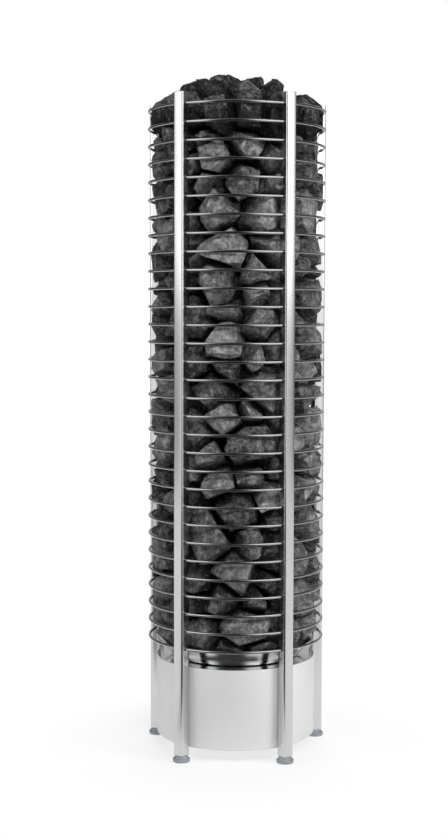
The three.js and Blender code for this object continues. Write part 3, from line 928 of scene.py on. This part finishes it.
        # Painted shade: corners further below the stone's outer face are darkened, standing in for the shade deep
        # in the clefts.
        values = [tone - self.cleft_shade * min(max((depth - low) / (high - low), 0), 1) for depth in depths]
        attribute = piece.data.attributes.new("tone", "FLOAT", "POINT")
        attribute.data.foreach_set("value", np.array(values, np.float32))

    @staticmethod
    def split(piece: Piece, point: Vector, normal: Vector) -> None:
        """Cuts the stone being edited along a plane, where it reaches it, and drops the part in front."""
        corners = bmesh.from_edit_mesh(piece.data).verts
        if not any((corner.co - point).dot(normal) > MERGE for corner in corners):
            return
        bpy.ops.mesh.bisect(plane_co=point, plane_no=normal, use_fill=True, clear_outer=True)
        bpy.ops.mesh.select_all(action="SELECT")

    def roughen(self, piece: Piece) -> None:
        """Gives the split faces their uneven surface."""
        apply_modifier(piece, "SUBSURF", subdivision_type="SIMPLE", levels=2, render_levels=2)
        for name, size, strength in (("lumps", 0.018, 0.005), ("grit", 0.006, 0.003)):
            texture = bpy.data.textures.new(name, "CLOUDS")
            texture.noise_scale, texture.noise_depth = size, 2
            apply_modifier(piece, "DISPLACE", texture=texture, strength=strength, mid_level=0.7)
        smooth(piece, 32)

    def build(self) -> None:
        """Builds the stones, one piece for each layer and one for the crown."""
        rng = np.random.default_rng(self.seed)
        loose = np.random.default_rng(self.crown_seed)
        stones = self.column(rng) + self.heap(loose)
        pieces = [self.broken(i, stones, loose if stone.tops else rng) for i, stone in enumerate(stones)]
        for layer in (*self.layers, self.crown):
            members = [piece for piece, stone in zip(pieces, stones) if stone.layer == layer]
            take(*members)
            bpy.ops.object.join()
            piece = settle(bpy.context.object, layer.replace("stone", "broken_stones"))
            self.roughen(piece)
            self.wardrobe.dress(piece, Slot.STONE, MAIN_BODY, layer)
            log.info("%s: %d stones, %d faces", piece.name, len(members), len(piece.data.polygons))


@dataclass
class Workings:
    """Solids of the frame that keep their shape, inside and under the heater."""

    wardrobe: Wardrobe
    slots: tuple[tuple[str, Slot], ...] = (
        ("bottom_plate", Slot.PLATE), ("element_plate", Slot.PLATE), ("heating_element", Slot.SHEATH),
        ("terminal_block", Slot.CERAMIC), ("wiring_harness", Slot.SLEEVE), ("cable_gland", Slot.PLASTIC),
        ("earth_stud", Slot.BRASS), ("stone_core", Slot.STONE))

    def build(self) -> None:
        """Dresses the solids."""
        for start, slot in self.slots:
            for name in sorted(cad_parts):
                if name.startswith(start):
                    self.wardrobe.dress_node(name, slot)


# Studio


@dataclass
class Studio:
    """Camera, soft light and a pale floor."""

    distance: float = 2.6876
    eye: float = 0.7947
    azimuth: float = 1.59
    pitch: float = 4.44
    roll: float = 0.171
    lens: float = 64.57
    shift: float = -0.0145
    floor_size: float = 16.0
    floor_white: tuple[float, float] = (0.15, 0.38)
    floor_shade: float = 0.3
    ambient: float = 0.04
    sides: tuple[float, float] = (0.4, 0.55)
    bright_sides: float = 1.1
    high_sides: tuple[float, float] = (0.6, 1.0)
    shade: float = 0.1
    back: float = 0.45
    front: float = 0.04
    front_turn: float = -6.0
    front_edge: tuple[float, float] = (0.83, 0.94)
    bright_edge: tuple[float, float] = (0.42, 0.64)
    shade_edge: tuple[float, float] = (0.0, 0.2)
    back_edge: tuple[float, float] = (-0.95, -0.7)
    near_floor: tuple[float, float] = (2.4, 3.6)
    near_level: float = 0.85
    dark_floor: tuple[float, float] = (0.18, 0.35)
    far_floor: tuple[float, float] = (1.9, 2.7)
    dark_floor_edge: tuple[float, float] = (0.6, 0.74)
    high_edge: tuple[float, float] = (0.0, 0.14)
    half_edge: tuple[float, float] = (-0.2, 0.2)

    def camera(self) -> None:
        """Sets up the camera where the photographer stood."""
        turn, dip, lean = (math.radians(a) for a in (self.azimuth, self.pitch, self.roll))
        ahead = -radial(turn) * math.cos(dip) - UP * math.sin(dip)
        side = ahead.cross(UP).normalized()
        above = side.cross(ahead)
        right = side * math.cos(lean) + above * math.sin(lean)
        upward = above * math.cos(lean) - side * math.sin(lean)
        data = bpy.data.cameras.new("camera")
        data.lens, data.shift_x = self.lens, self.shift
        camera = bpy.data.objects.new("camera", data)
        camera.matrix_world = Matrix.Translation(radial(turn, self.distance, self.eye)) @ Matrix(
            (right, upward, -ahead)).transposed().to_4x4()
        bpy.context.scene.collection.objects.link(camera)
        bpy.context.scene.camera = camera

    def softbox(self, name: str, place: Vector, aim: Vector, size: Point, power: float,
                mirrored: bool = True) -> None:
        """Hangs a rectangular lamp.

        Args:
            name: The lamp's name.
            place: Its middle.
            aim: The point that it faces.
            size: Width and height.
            power: Watts.
            mirrored: Whether bright metal shows it.
        """
        data = bpy.data.lights.new(name, "AREA")
        data.shape, data.size, data.size_y = "RECTANGLE", *size
        data.energy = power
        lamp = bpy.data.objects.new(name, data)
        lamp.location = place
        lamp.visible_glossy = mirrored
        lamp.rotation_euler = (aim - place).to_track_quat("-Z", "Y").to_euler()
        bpy.context.scene.collection.objects.link(lamp)

    @staticmethod
    def seen(shader: Shader) -> Socket:
        """Returns 1 for rays from the camera, mirrors and glass."""
        rays = [shader.node("ShaderNodeLightPath", {}, {}, f"Is {kind} Ray")
                for kind in ("Camera", "Glossy", "Transmission")]
        return shader.math("MINIMUM", rays[0] + rays[1] + rays[2], 1.0)

    @staticmethod
    def facing(shader: Shader, way: Socket, turn: float) -> Socket:
        """Returns how far a direction turns to an angle round the heater, from -1 to 1, at any height."""
        level = shader.node("ShaderNodeVectorMath", {"operation": "MULTIPLY"}, {0: way, 1: (1, 1, 0)})
        level = shader.node("ShaderNodeVectorMath", {"operation": "NORMALIZE"}, {0: level})
        towards = {0: level, 1: radial(math.radians(turn))}
        return shader.node("ShaderNodeVectorMath", {"operation": "DOT_PRODUCT"}, towards, "Value")

    def halves(self, shader: Shader, way: Socket, levels: Point) -> Socket:
        """Returns the light of the left and the right half of the room."""
        right = shader.step(self.facing(shader, way, 90.0), *self.half_edge)
        return shader.mix(right, *(grey(level) for level in levels))

    def walls(self, shader: Shader, front: Socket, sides: Value) -> Socket:
        """Returns the light of the walls: brightest beside the dark front, dimmest behind the sides."""
        sides = shader.mix(shader.step(front, *self.bright_edge), sides, grey(self.bright_sides))
        sides = shader.mix(shader.step(front, *self.shade_edge), grey(self.shade), sides)
        return shader.mix(shader.step(front, *self.back_edge), grey(self.back), sides)

    def floor(self) -> None:
        """Lays a pale floor that turns white away from the heater."""
        take()
        bpy.ops.mesh.primitive_plane_add(size=self.floor_size)
        floor = settle(bpy.context.object, "floor")
        with editing(floor):
            bpy.ops.mesh.subdivide(number_cuts=3)
        shader = Shader.named("pale_floor")
        place = shader.place()
        far = shader.node("ShaderNodeVectorMath", {"operation": "LENGTH"}, {0: place}, "Value")
        white = shader.step(far, *self.floor_white)
        paper = shader.node("ShaderNodeBsdfDiffuse", {}, {"Color": grey(0.82)})
        mirror = shader.node("ShaderNodeLightPath", {}, {}, "Is Glossy Ray")
        front = self.facing(shader, place, self.front_turn)
        walls = self.walls(shader, front, self.halves(shader, place, self.sides))
        lit = shader.mix(shader.step(far, *self.near_floor), grey(self.near_level), walls)
        edge = shader.mix(shader.step(far, *self.far_floor), shader.step(front, *self.dark_floor_edge),
                          shader.step(front, *self.front_edge))
        dim = edge * shader.step(far, *self.dark_floor)
        tone = shader.mix(mirror, grey(1.0), shader.mix(dim, lit, grey(self.front)))
        glow = shader.node("ShaderNodeEmission", {}, {"Color": tone, "Strength": 1.0})
        share = self.seen(shader) * (1 - self.floor_shade * (1 - white))
        shader.node_out("ShaderNodeOutputMaterial",
                        shader.node("ShaderNodeMixShader", {}, {0: share, 1: paper, 2: glow}))
        floor.data.materials.append(shader.owner)

    def world(self) -> None:
        """Makes a white room that is dark behind the camera."""
        world = bpy.data.worlds.new("studio")
        bpy.context.scene.world = world
        shader = Shader(world)
        way = shader.node("ShaderNodeTexCoord", {}, {}, "Generated")
        height = shader.node("ShaderNodeSeparateXYZ", {}, {0: way}, "Z")
        front = self.facing(shader, way, self.front_turn)
        sides = shader.mix(shader.step(height, *self.high_edge), self.halves(shader, way, self.sides),
                           self.halves(shader, way, self.high_sides))
        walls = self.walls(shader, front, sides)
        room = shader.mix(shader.step(front, *self.front_edge), walls, grey(self.front))
        light = shader.mix(self.seen(shader), grey(self.ambient), room)
        camera = shader.node("ShaderNodeLightPath", {}, {}, "Is Camera Ray")
        colour = shader.mix(camera, light, grey(1.0))
        shader.node_out("ShaderNodeOutputWorld",
                        shader.node("ShaderNodeBackground", {}, {"Color": colour, "Strength": 1.0}))

    def build(self) -> None:
        """Sets up the studio."""
        bpy.context.scene.view_settings.view_transform = "Standard"
        self.camera()
        self.floor()
        self.world()
        middle = UP * 0.7
        self.softbox("left", radial(math.radians(-62), 1.8, 1.75), middle, (1.5, 1.5), 7.0)
        self.softbox("right", radial(math.radians(54), 1.8, 1.75), middle, (1.7, 1.5), 10.0)
        self.softbox("key", Vector((0.6, -3.0, 3.0)), middle, (1.4, 1.0), 89.0, False)
        self.softbox("key_left", radial(math.radians(-64), 2.4, 1.5), middle, (0.8, 1.4), 17.0, False)
        self.softbox("key_right", radial(math.radians(62), 2.4, 1.5), middle, (0.8, 1.4), 34.0, False)
        self.softbox("rear", Vector((0, 2.2, 2.2)), middle, (1.6, 1.2), 45.0, False)


def main() -> None:
    """Builds the heater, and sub-assembly by sub-assembly."""
    logging.basicConfig(level=logging.INFO, format="%(name)s: %(message)s")
    wardrobe = Wardrobe()
    for assembly in (Studio(), Cage(wardrobe), Base(wardrobe), LevellingFeet(wardrobe), StonePile(wardrobe),
                     Workings(wardrobe)):
        assembly.build()
        log.info("%s done", type(assembly).__name__)


if __name__ == "__main__":
    main()
